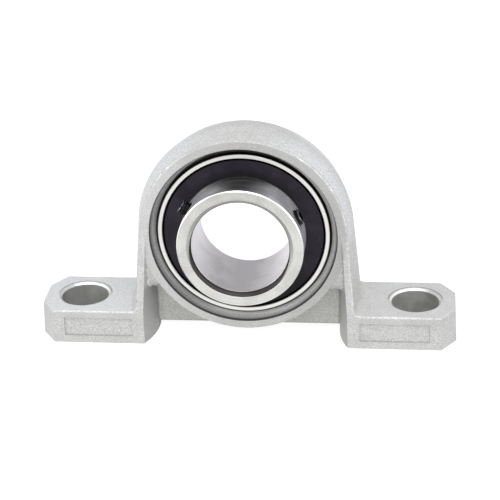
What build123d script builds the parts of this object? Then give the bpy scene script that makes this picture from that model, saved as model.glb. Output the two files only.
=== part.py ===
from build123d import *
from math import cos, radians, sin, sqrt, tan
import os

# Pillow block bearing, in millimetres. X runs along the feet, Y along the shaft with the collar
# towards -Y, and Z up. The origin is on the base plane, midway between the two foot bolts.

# Housing: heights and outline
shaft_height = 36.0
base_length = 132.0
base_depth = 25.2
foot_height = 11.0
foot_corner_x = 4.7
foot_corner_y = 6.8
foot_draft = 2.5
bolt_end_distance = 13.0
bolt_hole_d = 15.0
bolt_hole_chamfer = 0.8

# Housing: ring, arch and legs
ring_width = 17.1
ring_wall = 6.4
ring_setback = 0.3
arch_draft = 13.1
leg_splay_middle = 5.1
leg_splay_edge = 7.0
leg_gap = 58.2
leg_flare = 3.2
pocket_drop = 18.2
pocket_roll = 2.6
pocket_corner = 0.9
web_thickness = 3.0
web_rise = 2.7
web_let_in = 1.0

# Housing: seat for the insert and its mouth
seat_width = 10.3
seat_stock = 2.0
mouth_d = 58.4
seat_clearance = 0.05

# Housing: shallow bare panels on the front of the feet
panel_length = 21.8
panel_height = 6.2
panel_depth = 0.45
panel_end_margin = 3.6
panel_rise = 2.4

# Housing: rounded edges
ridge_round = 8.0
rim_round = 0.6
foot_corner_round = 0.8
leg_blend = 20.0
root_fillet = 2.2
ring_round = 0.3

# Insert: rings
bore_d = 30.0
inner_ring_d = 38.8
outer_ring_d = 55.0
outer_ring_width = 13.0
collar_length = 10.5
bore_chamfer_front = 1.3
bore_chamfer_back = 0.6
ring_edge_chamfer = 0.35
outer_shoulder_d = 46.8
seal_seat_d = 50.7
seal_seat_depth = 1.55

# Insert: balls and races
ball_count = 11
ball_d = 7.144
pitch_d = 42.5
race_conformity = 0.52
race_clearance = 0.03

# Insert: seals
seal_recess = 0.35
seal_thickness = 0.8
core_thickness = 0.4
core_margin = 0.5
lip_clearance = 0.06
lip_height = 0.9
lip_thickness = 0.35
seal_fit = 0.02

# Insert: cage and rivets
cage_sheet = 0.7
cage_clearance = 0.12
cage_band = 2.6
rivet_d = 1.2
rivet_fit = 0.02
rivet_head_d = 2.0
rivet_head_height = 0.3

# Insert: set screws
screw_d = 5.0
screw_length = 5.0
screw_socket = 2.5
screw_socket_depth = 2.2
screw_chamfer = 0.4
screw_cup_d = 2.4
screw_cup_angle = 44.0
screw_clearance = 0.05
screw_1_stand_out = 1.2
screw_2_stand_out = 2.4
screw_setback = 5.0
screw_spacing = 120.0
screw_pair_turn = -3.5

# Sizes that follow from those above
half_depth = base_depth / 2
half_ring = ring_width / 2
half_race = outer_ring_width / 2
ball_r = ball_d / 2
pitch_r = pitch_d / 2
bore_r = bore_d / 2
inner_r = inner_ring_d / 2
ring_r = outer_ring_d / 2
seat_r = ring_r + seat_clearance
arch_r = seat_r + ring_wall
arch_slope = tan(radians(arch_draft))
edge_r = arch_r - half_depth * arch_slope
foot_top_y = half_depth - foot_height * tan(radians(foot_draft))
bolt_spacing = base_length - 2 * bolt_end_distance
pocket_ceiling = shaft_height - pocket_drop
race_r = race_conformity * ball_d
inner_race_x = pitch_r - ball_r - race_clearance + race_r
outer_race_x = pitch_r + ball_r + race_clearance - race_r
collar_end = -half_race - collar_length
above = shaft_height + 2 * arch_r

# Cuts run past what they cut by this much, and closer than the second value counts as the same place
over = 1.0
near = 0.01

# Sections about the shaft have X as the radius and Y along the shaft
shaft_plane = Plane.XY.offset(shaft_height)
shaft_axis = Axis((0, 0, shaft_height), (0, 1, 0))

# Sides of the insert along Y
front_side = -1
back_side = 1


def block_outline(radius, splay):
    """Front view of the block at one depth: arch, splayed legs, root fillets and the slab of the feet."""
    side_x = radius * cos(radians(splay))
    side_z = shaft_height + radius * sin(radians(splay))
    root_x = side_x + (side_z - foot_height) * tan(radians(splay))
    with BuildSketch() as outline:
        with BuildLine():
            ThreePointArc((side_x, side_z), (0, shaft_height + radius), (-side_x, side_z))
            Polyline(
                (-side_x, side_z),
                (-root_x, foot_height),
                (-base_length, foot_height),
                (-base_length, 0),
                (base_length, 0),
                (base_length, foot_height),
                (root_x, foot_height),
                (side_x, side_z),
            )
        make_face()
        roots = outline.vertices().filter_by(lambda corner: abs(corner.Y - foot_height) < near)
        fillet(roots.filter_by(lambda corner: abs(corner.X) < root_x + near), radius=root_fillet)
    return outline.sketch


def is_rim(edge):
    """True for an outer edge of the block's front or back face, or of the top of a foot's end."""
    box = edge.bounding_box()
    middle = edge.position_at(0.5)
    on_face = abs(middle.Y) > half_ring - near
    on_foot_end = abs(middle.X) > base_length / 2 - foot_corner_x
    bend_line = box.size.X > leg_gap and box.size.Z < near
    return box.min.Z > foot_height - over and (on_face or on_foot_end) and not bend_line


def bay_between_legs():
    """Room between the legs: below the ring, and in front of and behind the ring's faces."""
    beyond = half_depth + over
    wall_x = leg_gap / 2
    edge_x = wall_x + leg_flare
    roll_mid = pocket_roll * (1 - sqrt(0.5))
    with BuildPart() as bay:
        with BuildSketch(Plane.YZ):
            with BuildLine():
                for side in (1, -1):
                    Line((0, pocket_ceiling), (side * (half_ring - pocket_roll), pocket_ceiling))
                    ThreePointArc(
                        (side * (half_ring - pocket_roll), pocket_ceiling),
                        (side * (half_ring - roll_mid), pocket_ceiling + roll_mid),
                        (side * half_ring, pocket_ceiling + pocket_roll),
                    )
                    Polyline(
                        (side * half_ring, pocket_ceiling + pocket_roll),
                        (side * half_ring, above),
                        (side * beyond, above),
                        (side * beyond, -over),
                        (0, -over),
                    )
            make_face()
        extrude(amount=base_length / 2, both=True)
        with BuildSketch(Plane.XY):
            with BuildLine():
                for side in (1, -1):
                    ThreePointArc(
                        (side * edge_x, -half_depth),
                        (side * wall_x, 0),
                        (side * edge_x, half_depth),
                    )
                    for end in (1, -1):
                        Polyline(
                            (side * edge_x, end * half_depth),
                            (side * edge_x, end * beyond),
                            (0, end * beyond),
                        )
            make_face()
        extrude(amount=2 * above, both=True, mode=Mode.INTERSECT)
        walls = bay.faces().filter_by(GeomType.CYLINDER)
        walls = walls.filter_by(lambda face: face.bounding_box().size.Z > above)
        corners = walls.edges().filter_by(lambda edge: edge.bounding_box().min.Z > pocket_ceiling - near)
        corners = corners.filter_by(lambda edge: edge.bounding_box().min.Z < above - near)
        fillet(corners.filter_by(lambda edge: abs(edge.center().Y) < half_depth - near), radius=pocket_corner)
    return bay.part


with BuildPart() as housing:
    # Block: full at the parting line and drawn in towards both faces
    for side in (1, -1):
        with BuildSketch(Plane.XZ):
            add(block_outline(arch_r, leg_splay_middle))
        with BuildSketch(Plane.XZ.offset(side * half_depth)):
            add(block_outline(edge_r, leg_splay_edge))
        loft(ruled=True)
    ridge = housing.edges().filter_by(lambda edge: edge.bounding_box().max.Z > foot_height + near)
    ridge = ridge.filter_by(lambda edge: abs(edge.center().Y) < near and edge.bounding_box().size.Y < near)
    fillet(ridge, radius=ridge_round)

    # Seen from the side, the legs widen from the ring's faces down to the feet
    with BuildSketch(Plane.YZ) as side_view:
        with BuildLine():
            Polyline(
                (-half_depth, 0),
                (-foot_top_y, foot_height),
                (-half_ring, shaft_height),
                (-half_ring, above),
                (half_ring, above),
                (half_ring, shaft_height),
                (foot_top_y, foot_height),
                (half_depth, 0),
                (-half_depth, 0),
            )
        make_face()
        bends = side_view.vertices().filter_by(lambda bend: foot_height - near < bend.Y < shaft_height + near)
        fillet(bends, radius=leg_blend)
    extrude(amount=base_length, both=True, mode=Mode.INTERSECT)

    # Feet: their ends, with the corners cut off, are drafted like their sides
    end_x = base_length / 2
    end_y = half_depth - foot_corner_y
    side_x = end_x - foot_corner_x * (base_depth - end_y) / foot_corner_y
    with BuildSketch(Plane.XY):
        with BuildLine():
            Polyline((end_x, 0), (end_x, end_y), (side_x, base_depth), (0, base_depth))
            mirror(about=Plane.XZ)
            mirror(about=Plane.YZ)
        make_face()
    extrude(amount=above, taper=foot_draft, mode=Mode.INTERSECT)
    uprights = housing.edges().filter_by(lambda edge: edge.bounding_box().size.Z > foot_height / 2)
    uprights = uprights.filter_by(lambda edge: edge.bounding_box().max.Z < foot_height + near)
    fillet(uprights, radius=foot_corner_round)

    # One rounding runs along the arch, down the legs and round the top of the feet
    fillet(housing.edges().filter_by(is_rim), radius=rim_round)

    add(bay_between_legs(), mode=Mode.SUBTRACT)

    # The ring runs on as a full circle below, a little thinner than the arch
    ring_face_r = arch_r - ring_setback - half_ring * arch_slope
    with BuildSketch(shaft_plane) as ring_section:
        with BuildLine():
            Polyline(
                (seat_r - seat_stock, -half_ring),
                (ring_face_r, -half_ring),
                (arch_r - ring_setback, 0),
                (ring_face_r, half_ring),
                (seat_r - seat_stock, half_ring),
                (seat_r - seat_stock, -half_ring),
            )
        make_face()
        corners = ring_section.vertices().filter_by(lambda corner: abs(corner.X - ring_face_r) < near)
        fillet(corners, radius=ring_round)
    revolve(axis=shaft_axis)

    # Web between the legs
    with BuildSketch(Plane.XZ):
        with Locations((0, web_rise)):
            Rectangle(leg_gap + 2 * web_let_in, pocket_ceiling, align=(Align.CENTER, Align.MIN))
    extrude(amount=web_thickness / 2, both=True)

    # Spherical seat, opening into a conical mouth at both faces
    seat_x = sqrt(seat_r**2 - (seat_width / 2) ** 2)
    with BuildSketch(shaft_plane):
        with BuildLine():
            ThreePointArc((seat_x, -seat_width / 2), (seat_r, 0), (seat_x, seat_width / 2))
            Polyline(
                (seat_x, seat_width / 2),
                (mouth_d / 2, half_ring),
                (mouth_d / 2, half_ring + over),
                (0, half_ring + over),
                (0, -half_ring - over),
                (mouth_d / 2, -half_ring - over),
                (mouth_d / 2, -half_ring),
                (seat_x, -seat_width / 2),
            )
        make_face()
    revolve(axis=shaft_axis, mode=Mode.SUBTRACT)

    # Bolt holes, with their top edges broken
    with Locations(Plane.XY.offset(foot_height)):
        with GridLocations(bolt_spacing, 0, 2, 1):
            CounterSinkHole(bolt_hole_d / 2, bolt_hole_d / 2 + bolt_hole_chamfer, counter_sink_angle=90)

    # Bare recessed panels on the front of the feet
    lean = radians(foot_draft)
    panel_x = base_length / 2 - foot_corner_x - panel_end_margin - panel_length / 2
    foot_front = Plane(origin=(0, -half_depth, 0), x_dir=(1, 0, 0), z_dir=(0, -cos(lean), sin(lean)))
    with BuildSketch(foot_front):
        with Locations((panel_x, panel_rise), (-panel_x, panel_rise)):
            Rectangle(panel_length, panel_height, align=(Align.CENTER, Align.MIN))
    extrude(amount=-panel_depth, mode=Mode.SUBTRACT)


# Outer ring: ball race, seats for the two seals, and a spherical outside
shoulder_x = outer_shoulder_d / 2
seal_seat_x = seal_seat_d / 2
seal_seat_y = half_race - seal_seat_depth
face_x = sqrt(ring_r**2 - half_race**2)
with BuildPart() as outer_ring:
    with BuildSketch(shaft_plane) as outer_section:
        with BuildLine():
            ThreePointArc((face_x, -half_race), (ring_r, 0), (face_x, half_race))
            Polyline(
                (face_x, half_race),
                (seal_seat_x, half_race),
                (seal_seat_x, seal_seat_y),
                (shoulder_x, seal_seat_y),
                (shoulder_x, -seal_seat_y),
                (seal_seat_x, -seal_seat_y),
                (seal_seat_x, -half_race),
                (face_x, -half_race),
            )
        make_face()
        edges = outer_section.vertices().filter_by(lambda corner: abs(abs(corner.Y) - half_race) < near)
        chamfer(edges, length=ring_edge_chamfer / 2)
        with Locations((outer_race_x, 0)):
            Circle(race_r, mode=Mode.SUBTRACT)
    revolve(axis=shaft_axis)


# Inner ring: ball race, collar at the front, bore for the shaft and two holes for set screws
screw_angles = [90 + screw_pair_turn + turn * screw_spacing / 2 for turn in (-1, 1)]
screw_stand_outs = [screw_1_stand_out, screw_2_stand_out]
screw_y = collar_end + screw_setback


def screw_plane(angle, radius):
    """Plane across a set screw's axis at this distance from the shaft's axis, facing outwards."""
    outwards = Vector(cos(radians(angle)), 0, sin(radians(angle)))
    return Plane(origin=Vector(0, screw_y, shaft_height) + outwards * radius, x_dir=(0, 1, 0), z_dir=outwards)


with BuildPart() as inner_ring:
    with BuildSketch(shaft_plane) as inner_section:
        with BuildLine():
            Polyline(
                (bore_r, collar_end + bore_chamfer_front),
                (bore_r + bore_chamfer_front, collar_end),
                (inner_r, collar_end),
                (inner_r, half_race),
                (bore_r + bore_chamfer_back, half_race),
                (bore_r, half_race - bore_chamfer_back),
                (bore_r, collar_end + bore_chamfer_front),
            )
        make_face()
        edges = inner_section.vertices().filter_by(lambda corner: abs(corner.X - inner_r) < near)
        chamfer(edges, length=ring_edge_chamfer)
        with Locations((inner_race_x, 0)):
            Circle(race_r, mode=Mode.SUBTRACT)
    revolve(axis=shaft_axis)
    for angle in screw_angles:
        with BuildSketch(screw_plane(angle, bore_r / 2)):
            Circle(screw_d / 2 + screw_clearance)
        extrude(amount=inner_r, mode=Mode.SUBTRACT)


def set_screw(angle, stand_out):
    """Socket set screw with a cup point, in its hole in the collar."""
    screw_head_r = inner_r + stand_out
    with BuildPart() as screw:
        with BuildSketch(screw_plane(angle, screw_head_r)):
            Circle(screw_d / 2)
        extrude(amount=-screw_length)
        chamfer(screw.edges().filter_by(GeomType.CIRCLE), length=screw_chamfer)
        with BuildSketch(screw_plane(angle, screw_head_r)):
            RegularPolygon(screw_socket / 2, 6, major_radius=False)
        extrude(amount=-screw_socket_depth, mode=Mode.SUBTRACT)
        with BuildSketch(screw_plane(angle, screw_head_r - screw_length)):
            Circle(screw_cup_d / 2)
        extrude(amount=screw_cup_d / 2, taper=screw_cup_angle, mode=Mode.SUBTRACT)
    return screw


# Seals: a rubber disc in the outer ring's seat, with a lip on the inner ring, stiffened by a steel disc
seal_outer_x = seal_seat_x - seal_fit
seal_inner_x = inner_r + lip_clearance
lip_root_x = inner_r + lip_height
core_outer_x = seal_outer_x - core_margin
seal_face_y = half_race - seal_recess
core_face_y = seal_face_y - seal_thickness
core_inside_y = core_face_y - core_thickness


def seal(side):
    """Rubber seal on one side of the insert."""
    with BuildPart() as rubber:
        with BuildSketch(shaft_plane):
            with BuildLine():
                Polyline(
                    (lip_root_x, side * seal_face_y),
                    (seal_outer_x, side * seal_face_y),
                    (seal_outer_x, side * core_inside_y),
                    (core_outer_x, side * core_inside_y),
                    (core_outer_x, side * core_face_y),
                    (lip_root_x, side * core_face_y),
                    (seal_inner_x, side * (seal_face_y - lip_thickness)),
                    (seal_inner_x, side * seal_face_y),
                    (lip_root_x, side * seal_face_y),
                )
            make_face()
        revolve(axis=shaft_axis)
    return rubber


def seal_core(side):
    """Steel disc on the inside of a seal."""
    with BuildPart() as disc:
        with BuildSketch(shaft_plane):
            with Locations(((lip_root_x + core_outer_x) / 2, side * (core_face_y + core_inside_y) / 2)):
                Rectangle(core_outer_x - lip_root_x, core_thickness)
        revolve(axis=shaft_axis)
    return disc


# Cage: two pressed ribbons, with a pocket for each ball, riveted face to face between the pockets
pocket_r = ball_r + cage_clearance
cage_plane = Plane(origin=(0, 0, shaft_height), x_dir=(1, 0, 0), z_dir=(0, front_side, 0))
ball_angles = [90 + 360 * number / ball_count for number in range(ball_count)]
rivet_angles = [angle + 180 / ball_count for angle in ball_angles]


def around_shaft(angles):
    """Places on the pitch circle, in the plane through the ball centres."""
    return [(pitch_r * cos(radians(angle)), pitch_r * sin(radians(angle))) for angle in angles]


def cage_band_sketch():
    """Flat ring that the ribbon is pressed from."""
    with BuildSketch() as band:
        Circle(pitch_r + cage_band / 2)
        Circle(pitch_r - cage_band / 2, mode=Mode.SUBTRACT)
    return band.sketch


def cage_half(side):
    """Ribbon half on one side of the balls."""
    outwards = side * front_side
    with BuildPart() as ribbon:
        with BuildSketch(cage_plane):
            add(cage_band_sketch())
        extrude(amount=outwards * cage_sheet)
        with Locations(cage_plane):
            with Locations(*around_shaft(ball_angles)):
                Sphere(pocket_r + cage_sheet)
        with BuildSketch(cage_plane):
            add(cage_band_sketch())
        extrude(amount=outwards * ball_d, mode=Mode.INTERSECT)
        with Locations(cage_plane):
            with Locations(*around_shaft(ball_angles)):
                Sphere(pocket_r, mode=Mode.SUBTRACT)
        with BuildSketch(cage_plane):
            with Locations(*around_shaft(rivet_angles)):
                Circle(rivet_d / 2 + rivet_fit)
        extrude(amount=outwards * cage_sheet, mode=Mode.SUBTRACT)
    return ribbon


with BuildPart() as cage_rivets:
    with BuildSketch(cage_plane):
        with Locations(*around_shaft(rivet_angles)):
            Circle(rivet_d / 2)
    extrude(amount=cage_sheet, both=True)
    for side in (1, -1):
        with BuildSketch(cage_plane.offset(side * cage_sheet)):
            with Locations(*around_shaft(rivet_angles)):
                Circle(rivet_head_d / 2)
        extrude(amount=side * rivet_head_height)


def ball_at(ball_x, ball_z):
    """Ball with its centre at this place across the shaft."""
    with BuildPart() as ball:
        with Locations((ball_x, 0, shaft_height + ball_z)):
            Sphere(ball_r)
    return ball


pieces = {
    "housing": housing,
    "outer_ring": outer_ring,
    "inner_ring": inner_ring,
    "seal_front": seal(front_side),
    "seal_back": seal(back_side),
    "seal_front_core": seal_core(front_side),
    "seal_back_core": seal_core(back_side),
    "cage_front": cage_half(front_side),
    "cage_back": cage_half(back_side),
    "cage_rivets": cage_rivets,
}
for number, (angle, stand_out) in enumerate(zip(screw_angles, screw_stand_outs), start=1):
    pieces[f"set_screw_{number}"] = set_screw(angle, stand_out)
for number, (ball_x, ball_z) in enumerate(around_shaft(ball_angles), start=1):
    pieces[f"ball_{number:02d}"] = ball_at(ball_x, ball_z)

os.makedirs("parts", exist_ok=True)
for name, piece in pieces.items():
    piece.part.label = name
    export_step(piece.part, f"parts/{name}.step")
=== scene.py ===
"""Finishes a packed pillow block bearing: cast zinc, turned steel, rubber seals and threaded set screws."""

from math import ceil, cos, pi, radians, sin
from types import SimpleNamespace

import bmesh
import bpy
from bpy.props import FloatProperty, FloatVectorProperty, IntProperty, PointerProperty
from mathutils import Matrix, Vector


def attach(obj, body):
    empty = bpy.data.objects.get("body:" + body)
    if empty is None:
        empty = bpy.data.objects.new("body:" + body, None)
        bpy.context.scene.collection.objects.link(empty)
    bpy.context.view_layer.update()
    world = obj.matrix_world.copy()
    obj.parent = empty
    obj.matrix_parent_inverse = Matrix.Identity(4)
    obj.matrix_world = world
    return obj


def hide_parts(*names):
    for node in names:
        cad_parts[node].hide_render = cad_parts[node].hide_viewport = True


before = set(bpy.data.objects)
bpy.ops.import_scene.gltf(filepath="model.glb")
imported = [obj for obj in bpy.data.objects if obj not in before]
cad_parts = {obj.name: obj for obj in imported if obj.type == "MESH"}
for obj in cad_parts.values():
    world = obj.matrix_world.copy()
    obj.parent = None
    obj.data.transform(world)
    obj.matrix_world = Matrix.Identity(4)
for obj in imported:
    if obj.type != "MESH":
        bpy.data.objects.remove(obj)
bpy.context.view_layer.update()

bl_info = {
    "name": "Pillow Block Bearing Finish",
    "version": (1, 0, 0),
    "blender": (4, 5, 0),
    "location": "3D View > Sidebar > Bearing",
    "description": "Finishes a packed pillow block bearing in cast zinc, steel and rubber",
    "category": "Object",
}

MM = 0.001
MICRON = 0.000001

# Places on the CAD parts that the finishes follow, in metres
SHAFT_HEIGHT = 36.0 * MM
BOLT_X = 53.0 * MM
BOLT_HOLE_R = 7.5 * MM
BOLT_BEVEL_R = 8.3 * MM
FOOT_HEIGHT = 11.0 * MM
FOOT_CORNER_X = 60.8 * MM
RIM_R = 31.9 * MM
RING_HALF_WIDTH = 8.55 * MM
MOUTH_R = 29.2 * MM
SEAT_EDGE_R = 27.1 * MM
SEAT_HALF_WIDTH = 5.15 * MM
GAP_HALF_WIDTH = 4.6 * MM
OUTER_RING_EDGE_R = 26.55 * MM
OUTER_RING_FACE_R = 25.35 * MM
INSERT_HALF_WIDTH = 6.5 * MM
WEB_HALF_WIDTH = 1.5 * MM
WEB_BOTTOM = 2.7 * MM
WEB_TOP = 17.8 * MM
LEG_GAP_X = 29.1 * MM
LEG_HALF_DEPTH = 12.6 * MM
ARCH_FOOT = (25.0 * MM, 40.0 * MM)
ARCH_TOP = (45.0 * MM, 50.0 * MM)
INNER_RING_R = 19.4 * MM
BORE_R = 15.0 * MM
BORE_BEVEL = 1.3 * MM
COLLAR_END_Y = -17.0 * MM
SEAL_OUTER_R = 25.33 * MM
SEAL_BULGE_R = 23.0 * MM
PANEL_X = (35.9 * MM, 57.7 * MM)
PANEL_Z = (2.4 * MM, 8.6 * MM)
PANEL_Y = -11.7 * MM

# Thread depth as a share of the pitch, and the widths of the rubbed bands on the screws
THREAD_DEPTH = 0.6134
CREST_BAND = 0.02 * MM
RIM_BAND = 0.1 * MM
SHARP_ANGLE = radians(28)

# Share of the lamps' light that the floor shows, and its own white light
FLOOR_CATCH = 0.3
FLOOR_GLOW = 0.89

# Soft boxes: name, place, width, power and colour
LAMPS = (
    ("top_softbox", (0.1, -0.4, 0.95), 0.8, 5.8, (0.925, 0.95, 1.0)),
    ("front_softbox", (-0.1, -0.85, 0.4), 0.7, 2.0, (1.0, 0.985, 0.95)),
    ("left_softbox", (-0.9, -0.35, 0.35), 0.6, 3.7, (0.98, 0.99, 1.0)),
    ("right_softbox", (0.9, -0.35, 0.35), 0.6, 3.4, (0.98, 0.99, 1.0)),
)


def colour_of(name, description, value):
    """Property for a surface colour, in linear light."""
    return FloatVectorProperty(
        name=name, description=description, subtype="COLOR", size=3, min=0.0, max=1.0, default=value
    )


def length_of(name, description, value):
    """Property for a length in metres."""
    return FloatProperty(name=name, description=description, default=value, min=0.0, precision=5, unit="LENGTH")


class CastZincFinish(bpy.types.PropertyGroup):
    """Colours and grain of the die-cast housing"""

    skin: colour_of("Skin", "Colour of the matt cast skin", (0.62, 0.614, 0.598))
    pale: colour_of("Pale patches", "Colour of the skin's paler patches", (0.68, 0.677, 0.667))
    # Also the colour of the painted highlights on rims and bevels and, darkened, of the painted light on the ring's
    # faces
    edge: colour_of("Bright edges", "Colour of rubbed edges and of bright specks", (0.95, 0.95, 0.94))
    # Colour of nicks, and of the painted shade and shadow in corners and recesses
    shade_and_grime: colour_of("Grime", "Colour of the dirt in corners and nicks", (0.2, 0.2, 0.19))
    # Smoother feet tops, paler and cooler as painted light, and the painted light on the arch's sides
    faced_and_painted_light: colour_of("Foot tops", "Colour of the smoother tops of the feet and sides of the arch", (0.79, 0.798, 0.812))
    # The web's own colour; darkened, it is the painted shade inside the legs
    shaded: colour_of("Web", "Colour of the rougher skin on the web and inside the legs", (0.62, 0.63, 0.595))
    turned: colour_of("Turned mouth", "Colour of the machined mouth and seat", (0.95, 0.94, 0.93))
    # Near black: painted shade in the crevice beside the insert and along the mouth's edge
    gap: colour_of("Gap", "Colour of the oily edge beside the insert", (0.07, 0.066, 0.062))
    # Darker than the skin: painted shade inside the bolt holes
    bolt_wall: colour_of("Bolt hole wall", "Colour inside the bolt holes", (0.37, 0.37, 0.35))
    grain: length_of("Grain", "Width of one grain of the sandy skin", 0.45 * MM)
    grain_depth: length_of("Grain depth", "Height of the grain", 0.03 * MM)
    patch: length_of("Patch", "Width of the cloudy patches", 7.0 * MM)


class SteelFinish(bpy.types.PropertyGroup):
    """Colours and turning marks of the insert's rings"""

    face: colour_of("Ground face", "Colour of the ground faces", (0.67, 0.665, 0.635))
    ring: colour_of("Outer ring", "Colour of the outer ring's ground face", (0.73, 0.725, 0.695))
    edge: colour_of("Bright edge", "Colour of the polished outer edge of the collar", (0.97, 0.97, 0.95))
    outside: colour_of("Collar outside", "Colour of the collar's outside", (0.78, 0.76, 0.79))
    bore: colour_of("Bore", "Colour of the ground bore", (0.69, 0.67, 0.7))
    # Painted shade on the bore
    bore_shade: colour_of("Bore shade", "Colour of the bore where it is duller", (0.36, 0.345, 0.365))
    scale: colour_of("Heat scale", "Colour of the dark bevel beside the bore", (0.008, 0.008, 0.008))
    scale_edge: colour_of("Thin scale", "Colour of the same bevel towards the face", (0.035, 0.033, 0.032))
    # Near black: painted shade on the outer ring's outside in its seat
    film: colour_of("Oil film", "Colour of the oily outside of the outer ring", (0.02, 0.018, 0.016))
    mark: length_of("Mark spacing", "Distance between turning marks", 0.22 * MM)
    mark_depth: length_of("Mark depth", "Depth of the turning marks", 0.004 * MM)


class SealFinish(bpy.types.PropertyGroup):
    """Colours of the moulded rubber seals"""

    rubber: colour_of("Rubber", "Colour of the moulded rubber", (0.014, 0.011, 0.018))
    bloom: colour_of("Bloom", "Colour of the rubber's pale bloom", (0.026, 0.022, 0.032))
    # Near black: painted shade in the groove at the seal's outer edge and where the seal is darkened
    rim: colour_of("Rim", "Colour of the groove at the seal's outer edge", (0.001, 0.001, 0.001))
    dust: colour_of("Dust", "Colour of the few specks of dust", (0.3, 0.29, 0.3))
    grain: length_of("Grain", "Width of the rubber's fine grain", 0.3 * MM)


class RollingFinish(bpy.types.PropertyGroup):
    """Colours of the balls, the cage and the discs inside the seals"""

    ball: colour_of("Balls", "Colour of the lapped balls", (0.8, 0.8, 0.8))
    sheet: colour_of("Pressed sheet", "Colour of the pressed steel", (0.5, 0.48, 0.44))


class SetScrewSizes(bpy.types.PropertyGroup):
    """Sizes of the two socket set screws in the collar"""

    diameter: length_of("Diameter", "Outside diameter of the thread", 5.0 * MM)
    length: length_of("Length", "Length from the socket end to the cup point", 5.0 * MM)
    pitch: length_of("Pitch", "Distance between two turns of the thread", 0.8 * MM)
    end_bevel: length_of("End bevel", "Bevel at both ends of the thread", 0.45 * MM)
    socket: length_of("Socket", "Width of the hexagon socket across its flats", 2.5 * MM)
    socket_depth: length_of("Socket depth", "Depth of the hexagon socket", 2.2 * MM)
    cup: length_of("Cup", "Diameter of the cup point", 2.4 * MM)
    stand_out_1: length_of("First stand out", "Height of the first screw above the collar", 1.2 * MM)
    stand_out_2: length_of("Second stand out", "Height of the second screw above the collar", 2.4 * MM)
    setback: length_of("Setback", "Distance of the screws from the collar's end", 5.0 * MM)
    turn: FloatProperty(
        name="Turn", description="Angle of the first screw about the shaft", default=radians(26.5), unit="ROTATION"
    )
    spacing: FloatProperty(
        name="Spacing", description="Angle between the screws", default=radians(120.0), unit="ROTATION"
    )
    segments: IntProperty(name="Segments", description="Steps in one turn of the thread", default=40, min=12)
    oxide: colour_of("Black oxide", "Colour of the oxide finish", (0.012, 0.012, 0.013))
    # Also a painted highlight on the screws' rims
    rubbed_and_highlight: colour_of("Rubbed crests", "Colour of the rubbed crests and rims", (0.4, 0.39, 0.39))


class StudioSettings(bpy.types.PropertyGroup):
    """Camera, lamps and floor"""

    lens: FloatProperty(name="Lens", description="Focal length", default=112.344, unit="CAMERA")
    azimuth: FloatProperty(
        name="Azimuth", description="Turn of the camera from the front", default=radians(7.0557), unit="ROTATION"
    )
    elevation: FloatProperty(
        name="Elevation", description="Height of the camera as an angle", default=radians(26.173), unit="ROTATION"
    )
    roll: FloatProperty(
        name="Roll", description="Tilt of the camera about its axis", default=radians(-2.1884), unit="ROTATION"
    )
    distance: length_of("Distance", "Distance of the camera from the shaft", 486.852 * MM)
    slide_right: FloatProperty(
        name="Slide right", description="Shift of the object in the view", default=-1.0555 * MM, unit="LENGTH"
    )
    slide_up: FloatProperty(
        name="Slide up", description="Rise of the object in the view", default=7.6514 * MM, unit="LENGTH"
    )
    floor_size: length_of("Floor", "Width of the floor", 3.0)
    floor: colour_of("Floor colour", "Colour of the pale floor", (0.4, 0.4, 0.4))
    sky: colour_of("Room light", "Colour of the light from all round", (0.97, 0.985, 1.0))
    sky_strength: FloatProperty(
        name="Room strength", description="Strength of the light from all round", default=0.32, min=0.0
    )


def place(tree, kind, inputs=None, **settings):
    """Adds a node, with its settings, and sets or links its inputs by name or number."""
    node = tree.nodes.new(kind)
    for name, value in settings.items():
        setattr(node, name, value)
    for key, value in (inputs or {}).items():
        if isinstance(value, bpy.types.NodeSocket):
            tree.links.new(value, node.inputs[key])
        else:
            node.inputs[key].default_value = value
    return node


def calc(tree, operation, *values):
    """Value of a sum on sockets and numbers."""
    return place(tree, "ShaderNodeMath", dict(enumerate(values)), operation=operation).outputs[0]


def chain(tree, operation, values):
    """One kind of sum on several values, from the first to the last."""
    result = values[0]
    for value in values[1:]:
        result = calc(tree, operation, result, value)
    return result


def product(tree, *values):
    """Product of several masks."""
    return chain(tree, "MULTIPLY", values)


def total(tree, *values):
    """Sum of several values."""
    return chain(tree, "ADD", values)


def largest(tree, *values):
    """Largest of several masks."""
    return chain(tree, "MAXIMUM", values)


def inverse(tree, mask):
    """Mask that is 1 where the other is 0."""
    return calc(tree, "SUBTRACT", 1.0, mask)


def diagonal(tree, first, second):
    """Length of a diagonal from its two sides."""
    return calc(tree, "SQRT", total(tree, calc(tree, "POWER", first, 2.0), calc(tree, "POWER", second, 2.0)))


def split(tree, vector):
    """X, Y and Z of a vector."""
    return place(tree, "ShaderNodeSeparateXYZ", {0: vector}).outputs


def rise(tree, value, low, high):
    """Mask that goes smoothly from 0 at low to 1 at high, or the other way where low is the larger."""
    start, end = (0.0, 1.0) if low < high else (1.0, 0.0)
    inputs = {"Value": value, "From Min": min(low, high), "From Max": max(low, high), "To Min": start, "To Max": end}
    return place(tree, "ShaderNodeMapRange", inputs, interpolation_type="SMOOTHSTEP").outputs[0]


def between(tree, value, low, high, soft):
    """Mask that is 1 between two limits, with soft ends."""
    return product(tree, rise(tree, value, low - soft, low + soft), rise(tree, value, high + soft, high - soft))


def spread(tree, factor, low, high):
    """Number that goes from low to high with a mask."""
    return place(tree, "ShaderNodeMapRange", {"Value": factor, "To Min": low, "To Max": high}).outputs[0]


def rgba(colour):
    """Colour with its alpha."""
    return (*colour, 1.0)


def darker(colour, share):
    """The same colour, darker by a share, with its alpha."""
    return rgba([share * value for value in colour])


def mix(tree, factor, first, second):
    """Blend of two colours."""
    inputs = {0: factor, 6: first, 7: second}
    return place(tree, "ShaderNodeMix", inputs, data_type="RGBA").outputs[2]


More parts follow.
